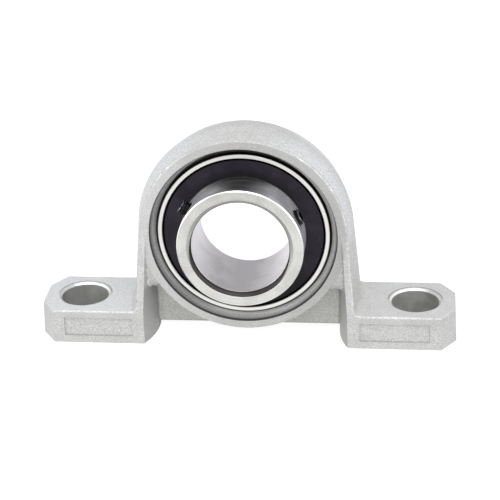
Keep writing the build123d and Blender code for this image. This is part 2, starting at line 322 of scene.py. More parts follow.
def layered(tree, base, *layers):
    """Colour with further colours laid over it, each through its mask."""
    for mask, colour in layers:
        base = mix(tree, mask, base, colour)
    return base


def texture(tree, vector, scale, detail=2.0, roughness=0.5, distortion=0.0):
    """Soft noise at this scale, which is one over the width of its features."""
    inputs = {"Vector": vector, "Scale": scale, "Detail": detail, "Roughness": roughness, "Distortion": distortion}
    return place(tree, "ShaderNodeTexNoise", inputs).outputs[0]


def noise(tree, vector, width, detail=2.0, roughness=0.5):
    """Soft noise whose features have about this width."""
    return texture(tree, vector, 1.0 / width, detail, roughness)


def start_group(name, inputs, outputs):
    """Empty node group with its sockets, vectors where no number is given: tree, given sockets and output node."""
    tree = bpy.data.node_groups.new(name, "ShaderNodeTree")
    for socket_name, value in inputs.items():
        kind = "NodeSocketVector" if value is None else "NodeSocketFloat"
        socket = tree.interface.new_socket(socket_name, in_out="INPUT", socket_type=kind)
        if value is not None:
            socket.default_value = value
    for socket_name in outputs:
        tree.interface.new_socket(socket_name, in_out="OUTPUT", socket_type="NodeSocketFloat")
    return tree, tree.nodes.new("NodeGroupInput").outputs, tree.nodes.new("NodeGroupOutput")


def put_out(tree, result, values):
    """Links a group's results to its output node."""
    for name, socket in values.items():
        tree.links.new(socket, result.inputs[name])


def grouped(tree, name, build, inputs):
    """Places a shared node group, built the first time that it is asked for, and returns its results."""
    group = bpy.data.node_groups.get(name) or build(name)
    return place(tree, "ShaderNodeGroup", inputs, node_tree=group).outputs


def shaft_place_group(name):
    """Distance from the shaft's axis, how far up and how far to the right it lies, and place along the axis."""
    outputs = ("Radius", "Upwards", "Rightwards", "Along")
    tree, given, result = start_group(name, {"Vector": None, "Axis Height": SHAFT_HEIGHT}, outputs)
    across, along, height = split(tree, given["Vector"])
    up = calc(tree, "SUBTRACT", height, given["Axis Height"])
    radius = diagonal(tree, across, up)
    put_out(tree, result, {
        "Radius": radius,
        "Upwards": calc(tree, "DIVIDE", up, radius),
        "Rightwards": calc(tree, "DIVIDE", across, radius),
        "Along": along,
    })
    return tree


def turning_marks_group(name):
    """Fine rings left by turning or grinding about the shaft, on faces and on round walls."""
    inputs = {"Vector": None, "Spacing": 0.2 * MM, "Waver": 0.03}
    tree, given, result = start_group(name, inputs, ("Height", "Tone"))
    turned = grouped(tree, "Shaft place", shaft_place_group, {"Vector": given["Vector"]})
    rings = place(tree, "ShaderNodeCombineXYZ", {0: turned["Radius"], 1: turned["Along"]}).outputs[0]
    inputs = {0: given["Vector"], "Scale": given["Waver"]}
    waver = place(tree, "ShaderNodeVectorMath", inputs, operation="SCALE").outputs[0]
    spot = place(tree, "ShaderNodeVectorMath", {0: rings, 1: waver}, operation="ADD").outputs[0]
    scale = calc(tree, "DIVIDE", 1.0, given["Spacing"])
    fine = texture(tree, spot, scale, 3.0, 0.65)
    coarse = texture(tree, spot, product(tree, scale, 0.16), 1.0)
    tone = total(tree, product(tree, fine, 0.6), product(tree, coarse, 0.4))
    put_out(tree, result, {"Height": fine, "Tone": tone})
    return tree


def cast_skin_group(name):
    """Sandy skin of a die casting: fine grain, cloudy patches and a few bright specks."""
    tree, given, result = start_group(
        name,
        {"Vector": None, "Grain": 0.45 * MM, "Patch": 7.0 * MM, "Speck Limit": 0.72},
        ("Height", "Grain Tone", "Patch Tone", "Speck"),
    )
    vector = given["Vector"]
    scale = calc(tree, "DIVIDE", 1.0, given["Grain"])
    grain = texture(tree, vector, scale, 3.0, 0.65)
    patch = texture(tree, vector, calc(tree, "DIVIDE", 1.0, given["Patch"]), 5.0, 0.62, 0.4)
    swell = texture(tree, vector, product(tree, scale, 0.2))
    fleck = texture(tree, vector, product(tree, scale, 1.3), 1.0, distortion=0.6)
    put_out(tree, result, {
        "Height": total(tree, grain, product(tree, swell, 0.5)),
        "Grain Tone": rise(tree, grain, 0.32, 0.68),
        "Patch Tone": rise(tree, patch, 0.36, 0.64),
        "Speck": rise(tree, calc(tree, "SUBTRACT", fleck, given["Speck Limit"]), 0.0, 0.05),
    })
    return tree


def rim_wear_group(name):
    """Rounded rims, where the surface faces between the front or back and the outside: rubbing that is partly a painted
    highlight, and nicks.
    """
    inputs = {"Vector": None, "Normal": None, "Nick": 1.1 * MM, "Corner": FOOT_CORNER_X}
    tree, given, result = start_group(name, inputs, ("Rim", "Wear_And_Highlight", "Nicks"))
    facing = split(tree, given["Normal"])
    depth = calc(tree, "ABSOLUTE", facing["Y"])
    outwards = calc(tree, "SQRT", inverse(tree, calc(tree, "POWER", depth, 2.0)))
    across = calc(tree, "ABSOLUTE", split(tree, given["Vector"])["X"])
    beyond = calc(tree, "GREATER_THAN", across, given["Corner"])
    upright = calc(tree, "LESS_THAN", calc(tree, "ABSOLUTE", facing["Z"]), 0.3)
    rim = product(
        tree, rise(tree, product(tree, depth, outwards), 0.4, 0.48), inverse(tree, product(tree, beyond, upright))
    )
    nicks = texture(tree, given["Vector"], calc(tree, "DIVIDE", 1.0, given["Nick"]), 3.0, 0.6)
    put_out(tree, result, {
        "Rim": rim,
        "Wear_And_Highlight": product(tree, rim, rise(tree, nicks, 0.5, 0.62)),
        "Nicks": product(tree, rim, rise(tree, nicks, 0.44, 0.34)),
    })
    return tree


def start_material(name):
    """New material with its tree, its Principled shader and the results of its Texture Coordinate node."""
    material = bpy.data.materials.new(name)
    material.use_nodes = True
    tree = material.node_tree
    shader = next(node for node in tree.nodes if node.type == "BSDF_PRINCIPLED")
    return material, tree, shader, tree.nodes.new("ShaderNodeTexCoord").outputs


def finish_shader(tree, shader, links, height, distance, **constants):
    """Links the surface to the Principled shader, with its bump, and sets the plain values on its own sockets."""
    for name, value in constants.items():
        shader.inputs[name.replace("_", " ")].default_value = value
    for name, socket in links.items():
        tree.links.new(socket, shader.inputs[name])
    bump = place(tree, "ShaderNodeBump", {"Height": height, "Distance": distance})
    tree.links.new(bump.outputs[0], shader.inputs["Normal"])


def dress(material, *names):
    """Gives CAD nodes their material."""
    for name in names:
        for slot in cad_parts[name].material_slots:
            slot.material = material


def housing_places(tree, given):
    """Where on the housing a place lies and which way it faces, as sockets."""
    spot = given["Object"]
    x, y, z = split(tree, spot)
    facing = split(tree, given["Normal"])
    turned = grouped(tree, "Shaft place", shaft_place_group, {"Vector": spot})
    return SimpleNamespace(
        spot=spot, x=x, y=y, z=z, side=calc(tree, "ABSOLUTE", x), depth=calc(tree, "ABSOLUTE", y),
        facing_x=facing["X"], facing_y=facing["Y"], radius=turned["Radius"], upwards=turned["Upwards"],
        rightwards=turned["Rightwards"],
    )


def panel_masks(tree, at):
    """Recessed panels on the feet, and the painted shade along their outline, strongest along the lower side."""
    low_x, high_x, low_z, high_z = *PANEL_X, *PANEL_Z
    in_panel = product(
        tree,
        between(tree, at.side, low_x, high_x, 0.1 * MM),
        between(tree, at.z, low_z, high_z, 0.1 * MM),
        calc(tree, "LESS_THAN", at.y, PANEL_Y),
    )
    inner = product(
        tree,
        between(tree, at.side, low_x + 0.3 * MM, high_x - 0.3 * MM, 0.15 * MM),
        between(tree, at.z, low_z + 0.3 * MM, high_z - 0.2 * MM, 0.15 * MM),
    )
    streaks = noise(tree, at.spot, 1.2 * MM, 3.0)
    lower_side = rise(tree, at.z, low_z + 0.7 * MM, low_z + 0.4 * MM)
    # Painted shade round the recess, broken up by streaks and strongest along the lower side
    outline = product(
        tree, in_panel, inverse(tree, inner), spread(tree, streaks, 0.1, 1.1), spread(tree, lower_side, 0.45, 1.0)
    )
    return in_panel, outline


def web_masks(tree, at):
    """Web between the legs, painted shade along its lower edge and in its corners, and the legs' inner sides, which get
    painted shade too.
    """
    on_web = product(
        tree,
        rise(tree, at.depth, WEB_HALF_WIDTH + 0.3 * MM, WEB_HALF_WIDTH + 0.1 * MM),
        rise(tree, at.z, WEB_TOP + 0.5 * MM, WEB_TOP),
        rise(tree, at.side, LEG_GAP_X + 1.0 * MM, LEG_GAP_X + 0.2 * MM),
        rise(tree, at.radius, RIM_R - 0.4 * MM, RIM_R - 0.1 * MM),
    )
    # Painted shade along the web's lower edge and beside the legs
    darkening = largest(
        tree,
        rise(tree, at.z, WEB_BOTTOM + 0.35 * MM, WEB_BOTTOM + 0.1 * MM),
        rise(tree, at.side, LEG_GAP_X - 0.7 * MM, LEG_GAP_X + 0.1 * MM),
    )
    # Inner sides of the legs below the arch, which get painted shade
    inwards = calc(tree, "DIVIDE", product(tree, at.x, at.facing_x), at.side)
    in_leg_gap = product(
        tree,
        rise(tree, inwards, -0.6, -0.8),
        rise(tree, at.z, WEB_TOP + 2.0 * MM, WEB_TOP),
        rise(tree, at.depth, LEG_HALF_DEPTH - 0.25 * MM, LEG_HALF_DEPTH - 0.65 * MM),
        rise(tree, at.side, LEG_GAP_X + 8.0 * MM, LEG_GAP_X + 7.0 * MM),
    )
    return on_web, product(tree, on_web, darkening), in_leg_gap


def bolt_hole_masks(tree, at):
    """Wall of the bolt holes, their bevel, the painted highlight on the bevel, stronger towards the leg, and a thin
    painted shadow round its far side.
    """
    from_middle = calc(tree, "SUBTRACT", at.side, BOLT_X)
    hole = diagonal(tree, from_middle, at.y)
    near_top = rise(tree, at.z, FOOT_HEIGHT - 0.9 * MM, FOOT_HEIGHT - 0.8 * MM)
    on_bevel = product(tree, between(tree, hole, BOLT_HOLE_R + 0.1 * MM, BOLT_BEVEL_R - 0.25 * MM, 0.06 * MM), near_top)
    # Painted highlight on the bevel, stronger on the side towards the leg
    towards_leg = rise(tree, calc(tree, "DIVIDE", from_middle, hole), 0.9, -0.3)
    # Thin painted shadow beyond the bevel, on its far side only
    far_side_shadow = product(
        tree,
        between(tree, hole, BOLT_BEVEL_R + 0.02 * MM, BOLT_BEVEL_R + 0.5 * MM, 0.1 * MM),
        near_top,
        rise(tree, at.y, -2.0 * MM, 3.0 * MM),
    )
    return (
        rise(tree, hole, BOLT_HOLE_R + 0.06 * MM, BOLT_HOLE_R + 0.02 * MM),
        on_bevel,
        product(tree, on_bevel, spread(tree, towards_leg, 0.2, 0.75)),
        far_side_shadow,
    )


def turned_mouth(tree, at, marks, finish):
    """Painted shade in the crevice beside the insert, wider at the top, and the mouth's colour: a dark line of painted
    shade at its edge, fainter at the top, and a lighter middle with painted shade towards the edge and to the left.
    """
    raised = rise(tree, at.upwards, -0.4, 0.7)
    from_edge = calc(tree, "SUBTRACT", at.radius, product(tree, raised, 0.8 * MM))
    # Turning marks, with painted shade towards the front edge and to the left
    tone = product(
        tree,
        rise(tree, from_edge, MOUTH_R - 0.2 * MM, MOUTH_R - 1.4 * MM),
        spread(tree, rise(tree, marks["Tone"], 0.38, 0.62), 0.65, 1.15),
        spread(tree, rise(tree, at.rightwards, -0.2, -0.7), 1.0, 0.5),
    )
    # Painted shade in a line at the mouth's edge, fainter at the top
    edge_line = product(
        tree,
        between(tree, at.radius, MOUTH_R - 0.4 * MM, MOUTH_R + 0.02 * MM, 0.08 * MM),
        spread(tree, raised, 1.0, 0.4),
        0.9,
    )
    # Painted shade in the crevice, wider towards the top
    above = calc(tree, "POWER", largest(tree, at.upwards, 0.0), 5.0)
    gap_r = total(tree, product(tree, above, 1.9 * MM), SEAT_EDGE_R + 0.3 * MM)
    past_gap = calc(tree, "SUBTRACT", at.radius, gap_r)
    in_gap = product(
        tree, rise(tree, past_gap, 0.12 * MM, -0.12 * MM), rise(tree, at.depth, GAP_HALF_WIDTH, SEAT_HALF_WIDTH)
    )
    colour = mix(tree, tone, darker(finish.turned, 0.3), rgba(finish.turned))
    return in_gap, layered(tree, colour, (edge_line, rgba(finish.gap)), (in_gap, rgba(finish.gap)))


def cast_zinc_material(finish):
    """Die-cast skin with rims brightened by rubbing and partly by a painted highlight, broken edges of the bolt holes,
    and a turned mouth and seat, with painted light, shade and shadow in many places.
    """
    material, tree, shader, given = start_material("Cast zinc")
    at = housing_places(tree, given)
    marks = grouped(tree, "Turning marks", turning_marks_group, {"Vector": at.spot, "Spacing": 0.3 * MM})
    wear = grouped(tree, "Rim wear", rim_wear_group, {"Vector": at.spot, "Normal": given["Normal"]})
    in_panel, outline = panel_masks(tree, at)
    on_web, web_painted_shade, in_leg_gap = web_masks(tree, at)
    in_hole, on_bevel, bevel_highlight, far_side_shadow = bolt_hole_masks(tree, at)
    in_gap, mouth = turned_mouth(tree, at, marks, finish)
    in_mouth = rise(tree, at.radius, MOUTH_R + 0.04 * MM, MOUTH_R)

    # Skin, with more bright specks in the panels, and more on the arch's right beside the rim as painted glints
    near_rim = product(
        tree,
        between(tree, at.radius, RIM_R, RIM_R + 1.2 * MM, 0.4 * MM),
        rise(tree, at.upwards, 0.3, 0.8),
        rise(tree, at.rightwards, 0.0, 0.5),
    )
    limit = total(tree, product(tree, in_panel, -0.05), product(tree, near_rim, -0.09), 0.72)
    inputs = {"Vector": at.spot, "Grain": finish.grain, "Patch": finish.patch, "Speck Limit": limit}
    skin = grouped(tree, "Cast skin", cast_skin_group, inputs)

    # Smoother tops of the feet, paler and cooler as painted light, more so on the left one
    on_foot_top = product(
        tree,
        between(tree, at.z, FOOT_HEIGHT - 0.1 * MM, FOOT_HEIGHT + 0.1 * MM, 0.05 * MM),
        rise(tree, at.side, LEG_GAP_X + 4.0 * MM, LEG_GAP_X + 5.0 * MM),
    )
    faced_and_painted_light = product(tree, on_foot_top, spread(tree, rise(tree, at.x, -10.0 * MM, 10.0 * MM), 0.62, 0.1))

    # Painted light on the sides of the arch, more to the left and beside the rim
    on_arch = product(
        tree,
        rise(tree, at.radius, RIM_R + 0.1 * MM, RIM_R + 0.4 * MM),
        rise(tree, at.z, *ARCH_FOOT),
        rise(tree, calc(tree, "ABSOLUTE", at.facing_y), 0.6, 0.4),
        rise(tree, calc(tree, "ABSOLUTE", at.rightwards), 0.15, 0.8),
    )
    most_lit = largest(
        tree, rise(tree, at.rightwards, 0.4, -0.4), rise(tree, at.radius, RIM_R + 2.2 * MM, RIM_R + 0.8 * MM)
    )
    painted_light_arch = product(tree, on_arch, spread(tree, most_lit, 0.25, 1.0))

    # Ring's faces, with painted light to the left and painted shade to the upper right
    on_ring_face = product(
        tree,
        rise(tree, at.depth, RING_HALF_WIDTH - 0.06 * MM, RING_HALF_WIDTH - 0.01 * MM),
        rise(tree, at.radius, RIM_R, RIM_R - 0.1 * MM),
    )
    lit_face = product(tree, on_ring_face, rise(tree, at.rightwards, -0.1, -0.8), 0.3)
    upper_right = total(tree, product(tree, at.upwards, 0.7), at.rightwards)
    painted_shade_upper_right = product(tree, on_ring_face, rise(tree, upper_right, -0.7, 0.5), 0.38)

    # Darker: nicks, a line along the rim at the top, and painted shade and shadow in recesses; brighter: rubbing and
    # painted highlight on rims
    at_top = product(tree, rise(tree, at.upwards, 0.78, 0.94), rise(tree, at.z, *ARCH_TOP))
    darkening = largest(
        tree,
        product(tree, outline, 0.8),
        product(tree, far_side_shadow, 0.8),
        product(tree, wear["Nicks"], 0.7),
        product(tree, web_painted_shade, 0.55),
        product(tree, wear["Rim"], at_top, 0.35),
    )
    on_foot = rise(tree, at.z, FOOT_HEIGHT + 4.0 * MM, FOOT_HEIGHT + 2.0 * MM)
    # Rims brightened by rubbing and partly by a painted highlight, kept off the top of the arch and weaker above the
    # feet
    rubbed_and_highlight = product(tree, wear["Wear_And_Highlight"], spread(tree, at_top, 0.6, 0.0), spread(tree, on_foot, 1.0, 0.5))
    bright = largest(tree, product(tree, skin["Speck"], 0.8), rubbed_and_highlight, bevel_highlight)

    shade = product(tree, skin["Grain Tone"], spread(tree, on_foot_top, 0.62, 0.36))
    base = layered(
        tree,
        mix(tree, skin["Patch Tone"], rgba(finish.skin), rgba(finish.pale)),
        # Smoother feet tops with painted light, and painted light on the arch's sides
        (faced_and_painted_light, rgba(finish.faced_and_painted_light)),
        (painted_light_arch, rgba(finish.faced_and_painted_light)),
        (on_web, rgba(finish.shaded)),
        # Painted shade inside the legs
        (in_leg_gap, darker(finish.shaded, 0.68)),
        (shade, darker(finish.skin, 0.62)),
        # Painted light on the ring's faces to the left, and painted shade to the upper right
        (lit_face, darker(finish.edge, 0.85)),
        (painted_shade_upper_right, darker(finish.skin, 0.6)),
        # Nicks, and painted shade and shadow in corners and recesses
        (darkening, rgba(finish.shade_and_grime)),
        # Bright specks, rims that are partly a painted highlight, and the painted highlight on the bolt holes' bevels
        (bright, rgba(finish.edge)),
        # Painted shade inside the bolt holes, patchy
        (in_hole, mix(tree, skin["Patch Tone"], darker(finish.bolt_wall, 0.75), rgba(finish.bolt_wall))),
        (in_mouth, mouth),
    )
    worked = largest(tree, in_mouth, on_bevel)
    roughness = total(tree, spread(tree, skin["Grain Tone"], 0.5, 0.68), product(tree, worked, -0.24))
    metal = largest(tree, product(tree, on_bevel, 0.9), spread(tree, in_gap, 0.4, 0.0))
    height = total(
        tree, product(tree, skin["Height"], inverse(tree, in_mouth)), product(tree, marks["Height"], in_mouth, 0.3)
    )
    links = {"Base Color": base, "Roughness": roughness, "Metallic": metal}
    finish_shader(tree, shader, links, height, finish.grain_depth)
    return material


def collar_layers(tree, turned, smudge, finish):
    """Outside of the collar, and the layers that give it its colour, with painted light to the sides and a painted dark
    reflection and shade at the top and towards the seal, and its polished edge, whose painted highlight fades to the
    right.
    """
    radius, along, rightwards = turned["Radius"], turned["Along"], turned["Rightwards"]
    on_collar = product(
        tree,
        rise(tree, radius, INNER_RING_R - 0.06 * MM, INNER_RING_R - 0.02 * MM),
        rise(tree, along, -INSERT_HALF_WIDTH, -INSERT_HALF_WIDTH - 0.5 * MM),
    )
    # Painted dark reflection and shade at the top and towards the seal, and painted light to the sides
    dark_top = rise(tree, total(tree, turned["Upwards"], product(tree, along, 18.0)), 0.62, 0.85)
    grey = product(
        tree,
        spread(tree, rise(tree, calc(tree, "ABSOLUTE", rightwards), 0.05, 0.5), 0.12, 1.0),
        spread(tree, dark_top, 1.0, 0.15),
        spread(tree, rise(tree, smudge, 0.35, 0.65), 1.1, 0.7),
    )
    # Polished edge, its painted highlight fading to the right
    on_edge = product(
        tree,
        between(tree, radius, INNER_RING_R - 0.28 * MM, INNER_RING_R - 0.06 * MM, 0.04 * MM),
        rise(tree, along, COLLAR_END_Y + 0.4 * MM, COLLAR_END_Y + 0.34 * MM),
        spread(tree, rise(tree, rightwards, -0.2, 0.7), 1.0, 0.3),
    )
    outside = mix(tree, grey, darker(finish.outside, 0.02), rgba(finish.outside))
    return on_collar, [(on_collar, outside), (on_edge, rgba(finish.edge))]


def bore_layers(tree, turned, smudge, speckle, finish):
    """Bore and the bevel round its front, and the layers that give them their colours."""
    radius, along = turned["Radius"], turned["Along"]
    upwards, rightwards = turned["Upwards"], turned["Rightwards"]

    # Bore, with painted shade at the bottom and painted light to the right
    in_bore = rise(tree, radius, BORE_R + 0.06 * MM, BORE_R + 0.02 * MM)
    lit = total(
        tree, calc(tree, "ABSOLUTE", rightwards), product(tree, rightwards, 0.35), product(tree, upwards, 0.3)
    )
    lit = product(tree, rise(tree, lit, -0.4, 1.25), spread(tree, speckle, 1.0, 0.9))
    lit = total(tree, lit, product(tree, rise(tree, smudge, 0.45, 0.65), -0.2))
    bore = mix(tree, lit, rgba(finish.bore_shade), rgba(finish.bore))

    # Bevel, dark with scale beside the bore, that dark spread wider at the bottom and left as painted shade, and
    # lighter towards the face, with painted light at the top and painted shade at the bottom
    past_bore = calc(tree, "SUBTRACT", radius, BORE_R)
    on_bevel = product(
        tree,
        between(tree, past_bore, 0.04 * MM, BORE_BEVEL - 0.03 * MM, 0.02 * MM),
        rise(tree, along, COLLAR_END_Y + BORE_BEVEL + 0.05 * MM, COLLAR_END_Y + BORE_BEVEL),
        rise(tree, along, COLLAR_END_Y + 0.01 * MM, COLLAR_END_Y + 0.04 * MM),
    )
    lowness = total(tree, upwards, product(tree, rightwards, 0.2))
    scale_and_shade_width = spread(tree, rise(tree, lowness, 0.3, -1.1), 0.2 * BORE_BEVEL, 1.35 * BORE_BEVEL)
    past_scale = total(tree, calc(tree, "SUBTRACT", past_bore, scale_and_shade_width), product(tree, smudge, 0.3 * MM))
    scale = mix(tree, rise(tree, past_bore, 0.1 * MM, 0.7 * MM), rgba(finish.scale), rgba(finish.scale_edge))
    bevel_light_and_shade = mix(tree, rise(tree, lowness, 0.1, -0.8), darker(finish.face, 0.8), darker(finish.face, 0.2))
    bevel = mix(tree, rise(tree, past_scale, -0.15 * MM, 0.3 * MM), scale, bevel_light_and_shade)
    return in_bore, on_bevel, [(in_bore, bore), (on_bevel, bevel)]


def ring_steel_material(finish):
    """Ground and turned bearing steel, with a paler bore and a bevel that is still dark from hardening, and painted
    light and shade on the bore, its bevel, the collar and the outer ring's seat.
    """
    material, tree, shader, given = start_material("Ring steel")
    spot = given["Object"]
    turned = grouped(tree, "Shaft place", shaft_place_group, {"Vector": spot})
    marks = grouped(tree, "Turning marks", turning_marks_group, {"Vector": spot, "Spacing": finish.mark})
    radius, depth = turned["Radius"], calc(tree, "ABSOLUTE", turned["Along"])
    smudge = noise(tree, spot, 6.0 * MM, 4.0)
    speckle = rise(tree, noise(tree, spot, 0.5 * MM, 3.0, 0.7), 0.4, 0.65)
    on_collar, on_outside = collar_layers(tree, turned, smudge, finish)
    in_bore, on_bevel, on_inside = bore_layers(tree, turned, smudge, speckle, finish)

    # Ground faces, stained, and darker towards the top
    stain = total(
        tree,
        product(tree, rise(tree, smudge, 0.42, 0.62), 0.35),
        product(tree, speckle, 0.4),
        product(tree, rise(tree, turned["Upwards"], 0.5, 1.0), 0.4),
    )

    # Outside of the outer ring in its seat, near black as painted shade, and its bright face
    in_seat = product(
        tree,
        rise(tree, radius, OUTER_RING_EDGE_R + 0.05 * MM, OUTER_RING_EDGE_R + 0.15 * MM),
        rise(tree, depth, SEAT_HALF_WIDTH - 1.0 * MM, SEAT_HALF_WIDTH),
    )
    bright_ring = product(
        tree,
        between(tree, radius, OUTER_RING_FACE_R, OUTER_RING_EDGE_R, 0.1 * MM),
        rise(tree, depth, INSERT_HALF_WIDTH - 0.3 * MM, INSERT_HALF_WIDTH - 0.2 * MM),
    )

    # Turning marks, faint in the bore and on its bevel
    faint = largest(tree, in_bore, on_bevel)
    line = product(tree, rise(tree, marks["Tone"], 0.4, 0.7), spread(tree, faint, 0.35, 0.08))
    base = layered(
        tree,
        mix(tree, stain, rgba(finish.face), darker(finish.face, 0.7)),
        *on_outside,
        *on_inside,
        (in_seat, rgba(finish.film)),
        (bright_ring, rgba(finish.ring)),
        (line, darker(finish.face, 0.5)),
    )
    roughness = total(tree, spread(tree, marks["Tone"], 0.22, 0.38), product(tree, on_bevel, 0.2))
    links = {"Base Color": base, "Roughness": roughness, "Metallic": spread(tree, on_collar, 1.0, 0.5)}
    finish_shader(tree, shader, links, marks["Height"], finish.mark_depth)
    return material


def seal_material(finish):
    """Moulded black rubber with a fine grain, a slight bloom and a little dust, and painted shade in the groove at its
    outer edge, beside the collar at the top and towards the bottom.
    """
    material, tree, shader, given = start_material("Seal rubber")
    spot = given["Object"]
    turned = grouped(tree, "Shaft place", shaft_place_group, {"Vector": spot})
    radius, upwards = turned["Radius"], turned["Upwards"]
    marks = grouped(tree, "Turning marks", turning_marks_group, {"Vector": spot, "Spacing": 0.5 * MM, "Waver": 0.1})
    inputs = {"Vector": spot, "Grain": finish.grain, "Patch": 7.0 * MM, "Speck Limit": 0.79}
    dust = grouped(tree, "Cast skin", cast_skin_group, inputs)
    # Painted shade: near black in the groove at the outer edge, made metallic there so that it stays black, beside the
    # collar at the top and towards the bottom
    rim = rise(tree, radius, SEAL_OUTER_R - 0.8 * MM, SEAL_OUTER_R - 0.5 * MM)
    by_collar = product(tree, rise(tree, radius, SEAL_BULGE_R, INNER_RING_R), rise(tree, upwards, 0.3, 0.9))
    black = largest(tree, by_collar, rise(tree, upwards, -0.35, -0.75))
    base = layered(
        tree,
        mix(tree, dust["Patch Tone"], rgba(finish.rubber), rgba(finish.bloom)),
        (largest(tree, rim, product(tree, black, 0.8)), rgba(finish.rim)),
        (product(tree, dust["Speck"], 0.35), rgba(finish.dust)),
    )
    links = {"Base Color": base, "Roughness": spread(tree, dust["Grain Tone"], 0.48, 0.62), "Metallic": rim}
    height = total(tree, dust["Height"], marks["Height"])
    finish_shader(tree, shader, links, height, 0.006 * MM, Specular_IOR_Level=0.2)
    return material


def pressed_steel_material(finish):
    """Bright rolled sheet, lightly stained where it was pressed."""
    material, tree, shader, given = start_material("Pressed steel")
    stain = noise(tree, given["Object"], 3.0 * MM, 4.0)
    scratches = noise(tree, given["Object"], 0.25 * MM, 3.0)
    base = mix(tree, stain, rgba(finish.sheet), darker(finish.sheet, 0.72))
    links = {"Base Color": base, "Roughness": spread(tree, scratches, 0.24, 0.44)}
    finish_shader(tree, shader, links, scratches, 0.004 * MM, Metallic=1.0)
    return material


def ball_steel_material(finish):
    """Lapped ball steel with a thin film of grease."""
    material, tree, shader, given = start_material("Ball steel")
    film = noise(tree, given["Object"], 2.0 * MM, 3.0)
    base = mix(tree, film, rgba(finish.ball), darker(finish.ball, 0.9))
    links = {"Base Color": base, "Roughness": spread(tree, film, 0.05, 0.16)}
    finish_shader(tree, shader, links, film, 0.001 * MM, Metallic=1.0)
    return material


def black_oxide_material(sizes):
    """Black oxide on steel, grey from rubbing on the thread's crests and on the rims, the rims' grey partly a painted
    highlight.
    """
    material, tree, shader, given = start_material("Black oxide")
    rubbed_and_highlight = place(tree, "ShaderNodeAttribute", attribute_name="rubbed_and_highlight").outputs["Fac"]
    patchy = rise(tree, noise(tree, given["Object"], 0.7 * MM, 3.0), 0.35, 0.65)
    grain = noise(tree, given["Object"], 0.12 * MM, 2.0)
    base = mix(tree, product(tree, rubbed_and_highlight, spread(tree, patchy, 0.35, 1.0)), rgba(sizes.oxide), rgba(sizes.rubbed_and_highlight))
    links = {"Base Color": base, "Roughness": spread(tree, grain, 0.26, 0.42)}
    finish_shader(tree, shader, links, grain, 0.003 * MM, Metallic=0.85)
    return material


def open_edges(shape, height):
    """Edges round the open end of a shape at this height."""
    edges = [edge for edge in shape.edges if edge.is_boundary]
    return [edge for edge in edges if all(abs(vert.co.z - height) < MICRON for vert in edge.verts)]


def step_inwards(shape, edges, radius, rise_by):
    """Draws a wall from a round edge loop to this radius and height, and returns its new edges."""
    made = bmesh.ops.extrude_edge_only(shape, edges=edges)["geom"]
    for vert in [item for item in made if isinstance(item, bmesh.types.BMVert)]:
        flat = Vector((vert.co.x, vert.co.y, 0.0))
        vert.co = flat.normalized() * radius + Vector((0.0, 0.0, vert.co.z + rise_by))
    return [item for item in made if isinstance(item, bmesh.types.BMEdge)]


def screw_shape(sizes):
    """Threaded set screw along Z, with its socket end at zero and its cup point below."""
    crest = sizes.diameter / 2
    root = crest - THREAD_DEPTH * sizes.pitch
    end_r = crest - sizes.end_bevel
    turns = ceil(sizes.length / sizes.pitch) + 2
    shape = bmesh.new()

    # One turn's outline, wound upwards
    outline = [(root, 0.0), (root, 0.25), (crest, 0.56), (crest, 0.69), (root, 1.0)]
    verts = [shape.verts.new((radius, 0.0, share * sizes.pitch)) for radius, share in outline]
    edges = [shape.edges.new(pair) for pair in zip(verts, verts[1:])]
    bmesh.ops.spin(
        shape,
        geom=verts + edges,
        cent=(0, 0, 0),
        axis=(0, 0, 1),
        dvec=(0, 0, sizes.pitch / sizes.segments),
        angle=2 * pi * turns,
        steps=sizes.segments * turns,
    )
    bmesh.ops.remove_doubles(shape, verts=shape.verts, dist=MICRON)
    top = sizes.pitch * 1.02 + sizes.length
    bmesh.ops.translate(shape, verts=shape.verts, vec=(0, 0, -top))

    # Both ends are bevelled and cut off square
    for vert in shape.verts:
        from_end = max(0.0, min(-vert.co.z, vert.co.z + sizes.length))
        across = Vector((vert.co.x, vert.co.y)).length
        limit = min(across, end_r + from_end) / across
        vert.co = Vector((vert.co.x * limit, vert.co.y * limit, vert.co.z))
    for height, upwards in ((0.0, 1), (-sizes.length, -1)):
        bmesh.ops.bisect_plane(
            shape,
            geom=shape.verts[:] + shape.edges[:] + shape.faces[:],
            dist=MICRON / 10,
            plane_co=(0, 0, height),
            plane_no=(0, 0, upwards),
            clear_outer=True,
        )

    # Cup point
    cup_rim = step_inwards(shape, open_edges(shape, -sizes.length), sizes.cup / 2, 0.0)
    cup_wall = step_inwards(shape, cup_rim, sizes.cup / 8, sizes.cup / 2)
    bmesh.ops.edgenet_fill(shape, edges=cup_wall)

    # Hexagon socket
    rim = open_edges(shape, 0.0)
    corner_r = sizes.socket / 2 / cos(pi / 6)
    hexagon = bmesh.ops.create_circle(shape, radius=corner_r, segments=6)["verts"]
    mouth = list({edge for vert in hexagon for edge in vert.link_edges})
    bmesh.ops.triangle_fill(shape, edges=rim + mouth, use_beauty=True)
    walls = bmesh.ops.extrude_edge_only(shape, edges=mouth)["geom"]
    floor = [item for item in walls if isinstance(item, bmesh.types.BMVert)]
    bmesh.ops.translate(shape, verts=floor, vec=(0, 0, -sizes.socket_depth))
    bmesh.ops.edgenet_fill(shape, edges=[item for item in walls if isinstance(item, bmesh.types.BMEdge)])

    bmesh.ops.remove_doubles(shape, verts=shape.verts, dist=MICRON)
    bmesh.ops.recalc_face_normals(shape, faces=shape.faces)
    loose = [edge for edge in shape.edges if not edge.is_manifold]
    if loose or shape.calc_volume() <= 0:
        raise RuntimeError(f"the set screw isn't closed: {len(loose)} open edges")
    return shape


